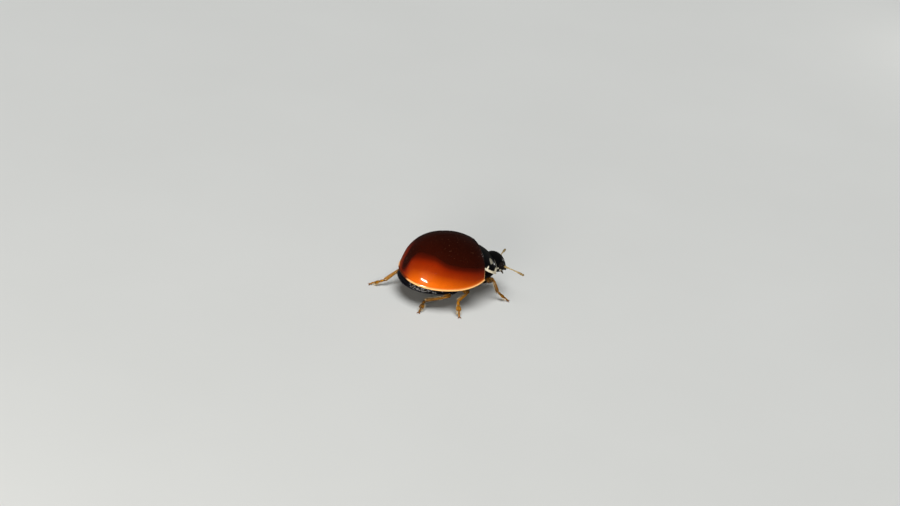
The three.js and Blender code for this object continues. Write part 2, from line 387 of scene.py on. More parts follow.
# the other surfaces: the two colours that each wanders between, the size of its patches, its
# shader values, and its bump's relief, size, depth and strength
SURFACES = {
    "black_cuticle_gloss": (
        ((0.0004, 0.0004, 0.0005), (0.002, 0.0018, 0.002)), 0.3,
        gloss(0.28, 0.6, 0.1), (grain, 0.05, 0.002, 0.3)),
    "underside_satin": (
        ((0.0005, 0.0005, 0.0012), (0.002, 0.0022, 0.004)), 0.25,
        gloss(0.38, 0.3, 0.2, Specular_IOR_Level=0.25, Sheen_Weight=0.04,
              Sheen_Tint=(0.4, 0.5, 0.9, 1)), (pits, 0.045, 0.004, 0.5)),
    "eye_facets": (((0.004, 0.003, 0.003), (0.013, 0.009, 0.008)), 0.08, gloss(0.22, 0.9, 0.08)),
    "claw_horn": (((0.1, 0.035, 0.01), (0.3, 0.13, 0.04)), 0.05, gloss(0.25, 0.4, 0.03)),
    "belly_hairs": (((0.008, 0.008, 0.009), (0.05, 0.05, 0.05)), 0.15, HAIR),
    # pale hairs under the rim, whose bright white is a painted glint
    "margin_hairs_painted_glint": (((0.75, 0.76, 0.8), (0.97, 0.97, 0.97)), 0.15, HAIR),
    # golden hairs, made paler as a painted glint on the legs
    "hair_golden_glint": (((0.5, 0.34, 0.15), (0.9, 0.74, 0.45)), 0.15, HAIR),
    "floor_pale": (((0.62, 0.62, 0.6), (0.66, 0.66, 0.64)), 12,
                   {"Roughness": 0.85}, (grain, 0.6, 0.02, 0.1)),
}


def material(name):
    colours, size, sockets, *bump = SURFACES[name]
    return surface(name, lambda tree: mottled(tree, size, colours), sockets, *bump)


def elytra_material():
    def colour(tree):
        # the depth mark is painted shade, which darkens the top of the dome
        depth = mark(tree, "depth")
        made = ramp(tree, depth, SHELL_SHADE_RAMP)
        made = darkened(tree, noise(tree, 0.5), made, 0.25)
        made = darkened(tree, pits(tree, 0.07), made, 0.14)
        # faint pale flecks on the dark top: dust, with painted reflection of light
        dust_and_glint = threshold(tree, noise(tree, 0.1), 0.63, 0.78)
        high = threshold(tree, depth, 0.62, 0.8)
        both = node(tree, "Math", 0, {0: dust_and_glint, 1: high}, operation="MULTIPLY")
        made = mix(tree, both, made, FLECK_DUST_AND_GLINT)
        # a painted highlight along the rim, and painted shade on the band under it
        made = mix(tree, mark(tree, "rim"), made, RIM_HIGHLIGHT)
        return mix(tree, mark(tree, "under"), made, UNDER_RIM_SHADE)

    return surface(
        "elytra_gloss", colour, gloss(0.36, 1.0, 0.055, Specular_IOR_Level=0.05, Coat_IOR=1.5),
        (pits, 0.07, 0.003, 0.25))


def marked_black(name, blue=0.0):
    """Glossy black cuticle with ivory marks."""
    blacks = ((0.0004, 0.0004, 0.0006 + blue), (0.0016, 0.0015, 0.002 + blue))

    def colour(tree):
        black, pale = mottled(tree, 0.3, blacks), mottled(tree, 0.12, IVORY)
        return mix(tree, mark(tree, "ivory"), black, pale)

    return surface(name, colour, gloss(0.3, 0.7, 0.12), (pits, 0.06, 0.003, 0.35))


def leg_material(name, pale, dark):
    """Streaked cuticle that darkens where the dusk mark says."""
    streaks = tuple(tuple(c * share for c in pale) for share in (0.4, 1.4))

    def colour(tree):
        return mix(tree, mark(tree, "dusk"), mottled(tree, 0.14, streaks, detail=5), dark)

    return surface(name, colour, gloss(
        0.36, 0.9, 0.1, Specular_IOR_Level=0.3, Subsurface_Weight=0.1,
        Subsurface_Radius=(0.08 * MM, 0.04 * MM, 0.01 * MM)), (grain, 0.025, 0.003, 0.4))


# ---- wing cases

# how the dome's grid is found: rows from base to tip, columns from suture to foot
DOME_GRID = dims(rows=150, columns=84, rounds=40, base=40.0, tail=179.6)
# the margin beyond the dome's foot: share of its width, and height over the rim
MARGIN = (
    (0.12, 0.038), (0.3, 0.030), (0.5, 0.028), (0.7, 0.030), (0.84, 0.029), (0.94, 0.022),
    (0.99, 0.012), (1.0, 0.0), (0.99, -0.012), (0.88, -0.0255), (0.6, -0.03), (0.0, -0.027),
)
# the inflexed band: how far it runs inside the foot, as a share of the plan, and its height
BAND = ((0.04, -0.018), (0.09, -0.006))
BAND_END = 0.03
# how the painted shade deepens the colour: it leans with the body, turns up at the tail and dips at
# one place
PAINTED_SHADE = dims(lean=0.18, tail=-1.25, tail_lean=0.7, dip=0.14, dip_x=(-0.95, 0.4),
             dip_rise=(0.7, 1.3), rim=(0.03, 0.25))
# painted shade at the tail, where the wing cases meet: its half width on top and what its foot
# adds, and how dark it is
TAIL_SHADE = dims(half=0.28, foot=0.34, rise=0.9, x=(-1.2, -1.8), dark=0.34, rim_dark=0.5,
             rim_y=(0.55, 0.85), over_rim=(0, 0.15))
# the pale line, a painted highlight along the rim: the heights where it ends, and how far up the
# shoulder it goes
HIGHLIGHT_LINE = dims(top=(0.03, 0.06), foot=(-0.03, -0.015), shoulder=(0.1, 0.6))


def plan_powers(plan, x, y):
    """0 at a plan's middle and 1 on its outline, which is an oval that power makes squarer."""
    far = np.where(x > 0, plan.front, plan.rear)
    return (np.abs(x) / far) ** plan.power + (np.abs(y) / plan.side) ** plan.power


def oval_reach(plan, ahead, aside):
    """A plan's reach to its outline in a unit direction."""
    return plan_powers(plan, ahead, aside) ** (-1 / plan.power)


def shell_climb(ahead, part):
    """The rim climbs towards the shoulders while the top of the dome stays level."""
    return SHELL.climb * np.clip(ahead, 0, None) ** 2 * part ** 3


def shell_point(direction, part, height):
    """A point in a plan direction, at a part of the way to the rim and at a height."""
    ahead, aside = np.cos(direction), np.sin(direction)
    far = oval_reach(SHELL, ahead, aside) * part
    return stack(ahead * far, aside * far, height + shell_climb(ahead, part))


def dome_point(alpha, beta, inset=0.0):
    """The dome by angles from the head end and above the rim."""
    ahead, aside, up = np.cos(alpha), np.sin(alpha) * np.cos(beta), np.sin(alpha) * np.sin(beta)
    flare = SHELL.flare * clamp(1 - up / SHELL.flare_top) ** 2
    part = np.hypot(ahead, aside) * (1 - (SHELL.margin + inset - flare) / SHELL.side)
    height = SHELL.foot_rise + (SHELL.height - SHELL.foot_rise - inset) * up
    return shell_point(np.arctan2(aside, ahead), part, height)


def base_line(aside):
    """Where the wing cases meet the pronotum, by distance from the middle."""
    aside = np.abs(aside)
    hollow = BASE.x + BASE.hollow * np.minimum(aside / BASE.half, 1) ** 2
    beyond = clamp((aside - BASE.half) / (SHELL.side - BASE.half))
    return hollow - BASE.shoulder * beyond ** BASE.bend


def scutellum_half(x):
    """Half the scutellum's width at a place along the body."""
    tip = BASE.x - SCUTELLUM.length
    return SCUTELLUM.width / 2 * np.clip((x - tip) / (BASE.x - tip), 0, 1.2)


def dome_angles():
    """A wing case's grid of angles: each row starts at the suture, each column at the base."""
    u, v = down(0, 1, DOME_GRID.rows), down(0, 1, DOME_GRID.columns).T
    u = 0.35 * u + 0.65 * u ** 1.6
    v = 0.55 * v + 0.45 * v ** 3
    base, start = math.radians(DOME_GRID.base), math.pi / 2
    for _ in range(DOME_GRID.rounds):
        alpha = base + (math.radians(DOME_GRID.tail) - base) * u
        beta = start * (1 - v)
        # the base angle of each column, from where that column meets the base line
        edge = dome_point(base, beta)
        slip = edge[..., 0] - (base_line(edge[..., 1]) - BASE.clearance)
        base = np.clip(base + 0.25 * slip, 0.05, 2.5)
        # the suture angle of each row, from where that row meets the suture or the scutellum
        first = dome_point(alpha, start)
        plate = scutellum_half(first[..., 0])
        wanted = SHELL.suture_gap + plate + SCUTELLUM.gap * (plate > 0)
        width = np.maximum(np.abs(dome_point(alpha, 0)[..., 1]), 1e-6)
        slip = (wanted - np.abs(first[..., 1])) / width
        start = np.arccos(np.clip(np.cos(start) + 0.5 * slip, 0, 0.9))
    return alpha, beta, start


def round_edge(dome, inside, radius, share):
    """Lowers a dome near an edge, by each point's distance inside it."""
    near = clamp(1 - inside / radius)
    dome[..., 2] -= radius * (1 - np.sqrt(1 - 0.98 * near ** 2)) * share


def elytron_form(side):
    """One wing case: dome, flat margin, rounded rim and the inflexed band under it."""
    alpha, beta, start = dome_angles()
    dome = dome_point(alpha, beta)
    from_suture = np.abs(dome[..., 1]) - np.abs(dome_point(alpha, start)[..., 1])
    round_edge(dome, from_suture, SHELL.suture_round, 0.7)
    from_base = base_line(dome[..., 1]) - BASE.clearance - dome[..., 0]
    round_edge(dome, from_base, SHELL.base_round, 0.8)

    foot = 1 - (SHELL.margin - SHELL.flare) / SHELL.side
    profile = [(foot + share * (1 - foot), height) for share, height in MARGIN]
    profile += [(foot - inside, height) for inside, height in BAND]
    profile.append((1 - SHELL.tuck / SHELL.side, BAND_END))
    direction = np.arctan2(np.abs(dome[:, -1, 1]), dome[:, -1, 0])
    margin = np.stack([
        shell_point(direction, np.full_like(direction, part), height) for part, height in profile
    ], 1)
    outer = np.concatenate([dome, margin], 1)
    # the inside follows the dome, and closes on the band's end
    inner = dome_point(alpha, beta, SHELL.thickness)
    inner = np.concatenate([inner, np.repeat(margin[:, -1:, :], margin.shape[1], 1)], 1)
    outer[..., 1] *= side
    inner[..., 1] = np.abs(inner[..., 1]) * side
    return plate_form(outer, inner)


def over_rim(points):
    """Height above the climbing rim."""
    x, y, z = points.T
    direction = np.arctan2(y, x)
    ahead = np.cos(direction)
    part = np.hypot(x, y) / oval_reach(SHELL, ahead, np.sin(direction))
    return z - shell_climb(ahead, clamp(part))


def shaded_tail_rim(points):
    """Painted shade on the stretch of the rim at the tail."""
    x, y, _ = points.T
    return (1 - ease(*TAIL_SHADE.rim_y, np.abs(y))) * ease(*TAIL_SHADE.x, x)


def elytra_painted_shade(points):
    """Painted shade: how deep the colour is. It rises from the rim up the dome, and towards the
    head.
    """
    x, y, z = points.T
    rise = over_rim(points)
    leaning = z + PAINTED_SHADE.lean * x + PAINTED_SHADE.tail_lean * np.clip(PAINTED_SHADE.tail - x, 0, None) ** 2
    leaning = leaning - PAINTED_SHADE.dip * bell(x, *PAINTED_SHADE.dip_x) * ease(*PAINTED_SHADE.dip_rise, rise)
    near_rim = 1 - ease(*PAINTED_SHADE.rim, rise)
    depth = (leaning * (1 - near_rim) + rise * near_rim) / SHELL.height
    # painted shade at the tail, a smoky apex where the two wing cases meet
    spread = TAIL_SHADE.half + TAIL_SHADE.foot * clamp(1 - rise / TAIL_SHADE.rise)
    tail_shade = bell(y, 0, spread) * ease(*TAIL_SHADE.x, x)
    above = ease(*TAIL_SHADE.over_rim, rise)
    depth = depth + TAIL_SHADE.dark * tail_shade * above + TAIL_SHADE.rim_dark * shaded_tail_rim(points) * (1 - above)
    return clamp(depth)


def elytra_rim_highlight(points):
    """Painted highlight: the pale line along the rim, which turns up the shoulder's front edge and
    fades in the painted shade at the tail.
    """
    rise = over_rim(points)
    line = (1 - ease(*HIGHLIGHT_LINE.top, rise)) * ease(*HIGHLIGHT_LINE.foot, rise) * (1 - 0.97 * shaded_tail_rim(points))
    behind_base = base_line(points[:, 1]) - points[:, 0]
    shoulder = (1 - ease(*HIGHLIGHT_LINE.top, behind_base)) * (1 - 0.96 * ease(*HIGHLIGHT_LINE.shoulder, rise))
    return np.maximum(line, shoulder * ease(HIGHLIGHT_LINE.foot[0], 0, rise))


def elytra_under_shade(points):
    """Painted shade on the inflexed band under the rim."""
    return 1 - ease(HIGHLIGHT_LINE.foot[0], BAND[0][1], over_rim(points))


def build_wing_cases():
    gloss = elytra_material()
    for name, side in SIDES.items():
        piece(f"wing_case_{name}", elytron_form(side), [f"elytron_{name}"], gloss,
              marks={"depth": elytra_painted_shade, "rim": elytra_rim_highlight, "under": elytra_under_shade})


def build_scutellum():
    """A small domed triangle between the bases of the wing cases."""
    u, v = down(0, 1, 24), down(-1, 1, 31).T
    tip = BASE.x - SCUTELLUM.length
    x = tip + (BASE.x - BASE.clearance - tip) * u * np.ones_like(v)
    y = scutellum_half(x) * v
    alpha, beta = 0.8, 1.5
    for _ in range(60):  # the dome's angles at each point's place
        place = dome_point(alpha, beta)
        alpha = np.clip(alpha + 0.3 * (place[..., 0] - x), 0.1, 2.5)
        reach = np.maximum(dome_point(alpha, 0)[..., 1], 0.1)
        slip = (np.abs(y) - place[..., 1]) / reach
        beta = np.arccos(np.clip(np.cos(beta) + 0.6 * slip, 0, 0.9))
    top = dome_point(alpha, beta)
    top[..., 1] = y
    rounded = np.sqrt(np.clip(1 - 0.9 * np.abs(v) ** 4 - 0.9 * (1 - u) ** 8, 0.02, 1))
    top[..., 2] += SCUTELLUM.rise * rounded - SCUTELLUM.sunk
    under = top - [0, 0, SCUTELLUM.thickness]
    piece("scutellum_plate", plate_form(top, under), ["scutellum"],
          material("black_cuticle_gloss"))


# ---- pronotum

PRONOTUM = dims(front=1.2, rear=0.95, side=1.28, power=2.4, centre=(1.74, 0, 0.67), height=0.58,
                edge=0.06, slope=28.5, middle=0.7, corner=0.9, corner_at=0.92, corner_power=2.6,
                flange=0.035, thickness=0.06, overlap=0.03, under=0.985)
PRONOTUM_GRID = dims(rows=130, columns=240, rounds=30)
FRONT_ROUND = 0.05
# how high or deep, and how far inside the edge and how wide
FRONT_RIDGE = (0.008, (0.06, 0.02))
SIDE_GUTTER = (0.012, (0.05, 0.03))
# the soft edges of its ivory marks, by x ahead, y aside and b up
FRONT_MARK = dims(wide=(0.07, 0.09), faint=(0.22, 0.35), gone=(0.5, 0.58))
SIDE_MARK = dims(b=(0.045, 0.07), y=(0.9, 1.0))
CORNER_MARK = dims(x=(0.62, 0.66), b=(0.16, 0.26), y=(0.7, 0.8))
# ovals: centre and half sizes in x and b, softness, turn, and where they start in y
SPIKE = ((0.135, 0.09), (0.045, 0.11), 0.3, -12, (1.0, 1.1))
HOOK, HOOK_SHADE = ((0.32, 0.365), (0.13, 0.08), 0.14, -25, (0.5, 0.6)), 0.35
BLACK_OVAL = ((0.46, 0.2), (0.19, 0.15), 0.08, 0, (0.85, 0.95))


def pronotum_width(x):
    inside = clamp(1 - plan_powers(PRONOTUM, x, 0))
    return PRONOTUM.side * inside ** (1 / PRONOTUM.power)


def pronotum_front(y):
    """The front margin, hollow behind the head between its forward corners."""
    across = np.clip(np.abs(y) / PRONOTUM.corner_at, 0, 1.3) ** PRONOTUM.corner_power
    return PRONOTUM.middle + (PRONOTUM.corner - PRONOTUM.middle) * across


def pronotum_top(x, y):
    """Height of the pronotum over its own level plane."""
    out = plan_powers(PRONOTUM, x, y) ** (1 / PRONOTUM.power)
    dome = clamp(out / (1 - PRONOTUM.flange))
    half = PRONOTUM.edge / 2
    return half + (PRONOTUM.height - half) * np.sqrt(clamp(1 - dome ** 2))


def pronotum_form():
    """A domed shield whose rear edge lies a little under the base of the wing cases."""
    u = down(0, 1, PRONOTUM_GRID.rows)
    across = np.sin(down(-1, 1, PRONOTUM_GRID.columns).T * math.pi / 2)
    s, c = sine_cosine(PRONOTUM.slope)
    x, rear = 0.3, 0.0
    for _ in range(PRONOTUM_GRID.rounds):
        y = across * pronotum_width(x)
        behind = base_line(y) - PRONOTUM.overlap - PRONOTUM.centre[0]
        rear = (behind - pronotum_top(rear, y) * s) / c
        x = rear + (pronotum_front(y) - rear) * u
    z = pronotum_top(x, y)
    # a rounded front edge, a fine raised line along it, and a gutter inside the side margins
    inside = pronotum_front(y) - x
    z = z - FRONT_ROUND * clamp(1 - inside / FRONT_ROUND) ** 2
    z = z + FRONT_RIDGE[0] * bell(inside, *FRONT_RIDGE[1])
    inside = pronotum_width(x) - np.abs(y)
    z = z - SIDE_GUTTER[0] * bell(inside, *SIDE_GUTTER[1])
    grids = stack(x, y, z), stack(x, y * PRONOTUM.under, z - PRONOTUM.thickness)
    return plate_form(*(placed(grid, PRONOTUM) for grid in grids))


def spot(x, y, b, centre, half, soft, turn, start):
    """A soft-edged oval mark in the plane of length and height."""
    s, c = sine_cosine(turn)
    dx, db = x - centre[0], b - centre[1]
    far = np.hypot((dx * c + db * s) / half[0], (db * c - dx * s) / half[1])
    return (1 - ease(1 - soft, 1 + soft, far)) * ease(*start, y)


def pronotum_ivory(points):
    """Ivory front and side margins, a front corner patch, and a hooked mark on each side."""
    local = levelled(points, PRONOTUM)
    x, y, b = local[:, 0], np.abs(local[:, 1]), local[:, 2] - PRONOTUM.edge / 2
    front = 1 - ease(*FRONT_MARK.wide, pronotum_front(y) - x)
    front = front * (1 - 0.6 * ease(*FRONT_MARK.faint, b)) * (1 - ease(*FRONT_MARK.gone, b))
    side = (1 - ease(*SIDE_MARK.b, b)) * ease(*SIDE_MARK.y, y)
    corner = ease(*CORNER_MARK.x, x) * (1 - ease(*CORNER_MARK.b, b)) * ease(*CORNER_MARK.y, y)
    spike, hook, black = (spot(x, y, b, *oval) for oval in (SPIKE, HOOK, BLACK_OVAL))
    return np.maximum.reduce([front, side, corner, spike, HOOK_SHADE * hook]) * (1 - black)


def build_pronotum():
    piece("pronotum_shield", pronotum_form(), ["pronotum"],
          marked_black("pronotum_marked", 0.0004), marks={"ivory": pronotum_ivory})


# ---- head

HEAD = dims(centre=(2.75, 0, 0.42), half=(0.56, 0.68, 0.47), slope=35)
EYE = dims(centre=(2.88, 0.54, 0.46), half=(0.19, 0.2, 0.21), slope=32, lens=0.035)
LABRUM = dims(centre=(3.29, 0, 0.07), half=(0.14, 0.28, 0.09), slope=45)
# pale marks by the eyes: direction from the head's middle, then size
HEAD_MARKS = (((0.35, 0.93, -0.17), 0.14), ((-0.02, 0.99, -0.12), 0.1), ((0.66, 0.74, -0.12), 0.1))
# the head's relief, in shares of its half sizes
HOLLOW = dims(depth=0.06, x=(0.75, 0.4), y=(0, 0.5), z=(0.45, 0.5))  # between the eyes
STEP = dims(depth=0.05, x=(0.6, 0.85), z=(0.02, -0.06), at=-0.12, half=0.55)  # over the labrum
SEAM = dims(depth=0.02, x=(0.8, 0.025), bow=0.25, half=0.5, low=-0.3)  # of the clypeus
MUZZLE = dims(height=0.15, x=(0.55, 0.98), half=0.6)
EYE_GROOVE = dims(depth=0.035, ring=(0.33, 0.06))
PIT = dims(depth=0.05, y=0.55, z=-0.02, spread=0.012)  # where a feeler starts


def head_form():
    grid = ball_points(170, 220)
    x, y, z = np.moveaxis(grid, -1, 0)
    lift = 1 - HOLLOW.depth * bell(x, *HOLLOW.x) * bell(y, *HOLLOW.y) * bell(z, *HOLLOW.z)
    lift = lift - STEP.depth * ease(*STEP.z, z - STEP.at) * plateau(y, STEP.half) * ease(*STEP.x, x)
    seam = bell(x + SEAM.bow * y ** 2, *SEAM.x) * (z > SEAM.low)
    lift = lift - SEAM.depth * seam * plateau(y, SEAM.half)
    lift = lift + MUZZLE.height * ease(*MUZZLE.x, x) * plateau(y, MUZZLE.half)
    for side in SIDES.values():
        way = unit(levelled(at_side(EYE.centre, side), HEAD) / HEAD.half)
        from_eye = np.arccos(np.clip(grid @ way, -1, 1))
        lift = lift - EYE_GROOVE.depth * bell(from_eye, *EYE_GROOVE.ring)
        away = (y - side * PIT.y) ** 2 + (z - PIT.z) ** 2
        lift = lift - PIT.depth * np.exp(-away / PIT.spread) * (x > 0)
    return tube_form(placed(grid * HEAD.half * lift[..., None], HEAD))


def head_ivory(points):
    """A small pale mark under each eye, one behind it and one before it."""
    local = levelled(points, HEAD) / HEAD.half
    local[:, 1] = np.abs(local[:, 1])
    way = unit(local)
    marks = [1 - ease(size * 0.7, size, distance(way, unit(centre))) for centre, size in HEAD_MARKS]
    return np.maximum.reduce(marks)


def icosphere(subdivisions):
    work = bmesh.new()
    bmesh.ops.create_icosphere(work, subdivisions=subdivisions, radius=1)
    points = np.array([v.co for v in work.verts])
    faces = np.array([[v.index for v in f.verts] for f in work.faces])
    work.free()
    return points, faces


def eye_form(side):
    """A compound eye: an ellipsoid whose surface swells into small round lenses."""
    points, faces = icosphere(5)
    centres, _ = icosphere(3)
    away = np.arccos(np.clip(np.max(points @ centres.T, axis=1), -1, 1))
    lens = 1 - EYE.lens * (away / away.max()) ** 2
    points = tilted(points * lens[:, None] * EYE.half, EYE.slope) + at_side(EYE.centre, side)
    return points, np.concatenate([faces, faces[:, -1:]], 1)


def build_head():
    piece("head_capsule", head_form(), ["head"], marked_black("head_marked"),
          marks={"ivory": head_ivory})
    lip = tube_form(placed(ball_points(30, 48) * LABRUM.half, LABRUM))
    piece("labrum_plate", lip, ["labrum"], material("black_cuticle_gloss"))
    lens = material("eye_facets")
    for name, side in SIDES.items():
        piece(f"compound_eye_{name}", eye_form(side), [f"eye_{name}"], lens, weld=0.00001)


# ---- feelers

ANTENNA = dims(root=(3.1, 0.4, 0.33), arch=0.06,
               tip={"right": (3.88, 1.34, 0.27), "left": (3.82, 1.36, 0.33)})
# length and width: scape, pedicel, six slender joints, then the club's three
ANTENNA_JOINTS = (
    (0.16, 0.062), (0.09, 0.05), (0.11, 0.032), (0.085, 0.031), (0.08, 0.031), (0.075, 0.033),
    (0.07, 0.036), (0.07, 0.042), (0.1, 0.056), (0.1, 0.066), (0.11, 0.06),
)
JOINT_SWELL = (0.7, 0.95, 1.12, 0.85)  # a joint's widths along it, as shares of its own
PALP = ((3.06, 0.26, 0.0), (3.15, 0.29, -0.07), (3.17, 0.3, -0.14))  # root, knee and tip
# the club's painted shade and where it starts, and how dark the palps are
CLUB_SHADE, CLUB_Y, PALP_DUSK = 0.45, (0.95, 1.25), 0.97


def antenna_form(name, side):
    root, tip = at_side(ANTENNA.root, side), at_side(ANTENNA.tip[name], side)
    middle = (root + tip) / 2 + [0, 0, ANTENNA.arch]
    total = sum(length for length, _ in ANTENNA_JOINTS)
    forms, done = [], 0.0
    for length, width in ANTENNA_JOINTS:
        a, b = bezier([root, middle, tip], vec(done, done + length) / total)
        path = [a - (b - a) * 0.12, a + (b - a) * 0.6, b + (b - a) * 0.1]
        forms.append(limb(path, [width * swell for swell in JOINT_SWELL], rings=12, around=14))
        done += length
    return joined(forms)


def palp_form(side):
    root, knee, tip = (at_side(place, side) for place in PALP)
    return joined([
        limb([root, (root + knee) / 2, knee], [0.05, 0.055, 0.05], rings=10),
        limb([knee, (knee + tip) / 2, tip], [0.045, 0.08, 0.11, 0.08], flat=0.5, rings=12),
    ])


def antenna_club_shade(points):
    """Painted shade: darker towards the club."""
    return CLUB_SHADE * ease(*CLUB_Y, np.abs(points[:, 1]))


def palp_dusk(points):
    return np.full(len(points), PALP_DUSK)


def build_feelers():
    skin = leg_material("feeler_cuticle", FEELER_PALE, FEELER_DARK)
    for name, side in SIDES.items():
        for kind, form, dusk in (("antenna", antenna_form(name, side), antenna_club_shade),
                                 ("palp", palp_form(side), palp_dusk)):
            piece(f"{kind}_jointed_{name}", form, [f"{kind}_{name}"], skin,
                  marks={"dusk": dusk})


# ---- underside

# the skin runs from its lowest pole (t = 0) past its girth to the rim (t = 1)
BELLY = dims(front=2.3, rear=2.27, side=1.76, power=2.3, girth_at=0.7)
# its half width, its depth and its girth's depth: at the belly, and at the chest
SKIN = ((BELLY.side, 1.62), (0.73, 0.46), (0.33, 0.12))
WAIST = (0, 0.7)  # from one to the other, along the body
PROSTERNUM = dims(front=0.6, rear=0.58, side=0.98, power=2.4, centre=(2.05, 0, 0.2),
                  depth=0.48, rise=0.46, girth_at=0.6)
VENTRITES = (0.02, -0.62, -1.02, -1.36, -1.66, -1.93)
GROOVE = dims(depth=0.022, width=0.035, bow=0.16, foremost=0.4)
TRUNK = dims(inset=0.14, low=-0.12, high=math.pi / 2 - 0.02)  # inset from the wing cases' outside
LOCK = dims(inset=0.065, radius=0.028, first=50, last=176)


def round_and_past(plan, t):
    """The quarter turn from pole to girth, and the share of the way past it."""
    girth = plan.girth_at
    return clamp(t / girth) * math.pi / 2, clamp((t - girth) / (1 - girth))


def underside_point(direction, t):
    """The underside in a plan direction, between its pole and the rim."""
    ahead, aside = np.cos(direction), np.sin(direction)
    around, past = round_and_past(BELLY, t)
    part = np.sin(around) - 0.1 * past
    far = oval_reach(BELLY, ahead, aside) * part
    x = ahead * far
    side, depth, girth = (belly + (chest - belly) * ease(*WAIST, x) for belly, chest in SKIN)
    height = girth * past - girth - (depth - girth) * np.cos(around)
    y = aside * far * side / BELLY.side
    return stack(x, y, height + shell_climb(ahead, part))


def ventrite_groove(x, y):
    """Depth of the grooves between the belly's plates, which bow back at the middle."""
    bowed = x + GROOVE.bow * (1 - (y / BELLY.side) ** 2)
    depth = sum(GROOVE.depth * bell(bowed, line, GROOVE.width) for line in VENTRITES)
    return depth * (x < GROOVE.foremost)


def underside_form():
    grid = underside_point(round_turn(260), down(0.004, 1, 110))
    grid[..., 0] = np.minimum(grid[..., 0], base_line(grid[..., 1]) + 0.02)
    outwards = unit(grid - [0, 0, 0.4])
    return tube_form(grid - outwards * ventrite_groove(grid[..., 0], grid[..., 1])[..., None])


def trunk_form():
    """The body under the wing cases, which fills their dome behind the base."""
    rise = down(TRUNK.low, TRUNK.high, 60)
    part = np.cos(rise) * (1 - (SHELL.margin + TRUNK.inset) / SHELL.side)
    top = SHELL.height - SHELL.foot_rise - TRUNK.inset
    grid = shell_point(round_turn(200), part, SHELL.foot_rise + top * np.sin(rise))
    grid[..., 0] = np.minimum(grid[..., 0], base_line(grid[..., 1]) - 0.03)
    return tube_form(grid)


def suture_lock_form():
    """The tongue that closes the seam between the wing cases."""
    alpha = np.radians(down(LOCK.first, LOCK.last, 100))
    angle = round_turn(12)[..., None]
    crest = dome_point(alpha, math.pi / 2, LOCK.inset)
    out = unit(dome_point(alpha, math.pi / 2) - crest)
    return tube_form(crest + (vec(0, 1, 0) * np.cos(angle) + out * np.sin(angle)) * LOCK.radius)


def prosternum_form():
    """The prothorax under the pronotum."""
    direction = round_turn(120)
    around, past = round_and_past(PROSTERNUM, down(0.01, 1, 40))
    ahead, aside = np.cos(direction), np.sin(direction)
    far = oval_reach(PROSTERNUM, ahead, aside) * np.sin(around)
    height = PROSTERNUM.rise * past - PROSTERNUM.depth * np.cos(around)
    return tube_form(stack(ahead * far, aside * far, height) + PROSTERNUM.centre)


def build_underside():
    forms = [underside_form(), trunk_form(), suture_lock_form(), prosternum_form()]
    piece("underside_skin", joined(forms), ["abdomen", "thorax", "prothorax"],
          material("underside_satin"))


# ---- legs

# hips, and the lengths of femur and tibia
PAIRS = {
    "front": ((2.15, 0.4, -0.46), 0.76, 0.82),
    "middle": ((0.85, 0.6, -0.56), 1.06, 0.76),
    "hind": ((-0.5, 0.7, -0.54), 1.25, 1.28),
}
# Headings of femur and tibia, in degrees outwards from straight ahead and above level, and how
# far ahead of the ankle and out from it the claw stands.
STANCE = {
    "front_right": ((67, 31), (-7, -66), (0.6, 0.32)),
    "middle_right": ((90, 8), (148, -15), (-0.06, 0.69)),
    "hind_right": ((75, 5), (197, -16), (-0.44, 0.5)),
    "front_left": ((80, 25), (95, -50), (-0.02, 0.6)),
    "middle_left": ((75, 8), (70, -25), (0.2, 0.74)),
    "hind_left": ((148, 5), (197, -25), (-0.79, 0.12)),
}
UP = vec(0, 0, 1)
COXA = dims(half=(0.2, 0.27, 0.13), rise=0.04)
# widths along each part of a leg, and how flat it is
LIMBS = dims(
    trochanter=((0.12, 0.15, 0.1), 1), femur=((0.1, 0.21, 0.19, 0.11), 0.72),
    tibia=((0.066, 0.074, 0.096, 0.105), 0.85), spur=((0.022, 0.012, 0.004), 1),
    first_joint=((0.05, 0.075, 0.105), 0.75), lobe=((0.05, 0.075, 0.07, 0.05), 0.6),
    last_joint=((0.035, 0.03, 0.045, 0.05), 0.9),
    claw=((0.03, 0.024, 0.006), 1), tooth=((0.02, 0.012, 0.004), 1),
)
# distances from the joints: along the limb or foot, above it, and to each side
REACH = dims(neck=0.16, trochanter=0.26, thigh=0.03, shin=0.04, calf=0.035, arch=0.04, ankle=0.02,
             last_joint=0.04, last_rise=0.02, knuckle=0.06)
SPUR = dims(back=0.05, aside=0.06, long=0.12, splay=0.03)
LOBE = dims(aside=0.07, long=0.04, sunk=0.03, tip=0.075)
CLAW = dims(back=0.11, rise=0.055, arch=0.07, arch_aside=0.06, arch_rise=0.03, tip=0.085,
            tip_rise=0.006, tooth=0.05, tooth_aside=0.035, point=0.01, point_sunk=0.045)
FOOT_JOINTS = (0.34, 0.62)  # along the foot's curve
FOOT_LINES = (0.3, 0.56)  # the dark lines between its joints, along the straight line to the claw
# how dark each place is, and where the thigh fades; the darkness on the underside is painted shade
DUSK = dims(fade=0.75, thigh=(0.25, 0.85), knee=0.5, ankle=0.4, line=0.4, under=0.5)


def heading(outwards, above, side):
    (so, co), (sa, ca) = sine_cosine(outwards), sine_cosine(above)
    return vec(ca * co, ca * so * side, sa)


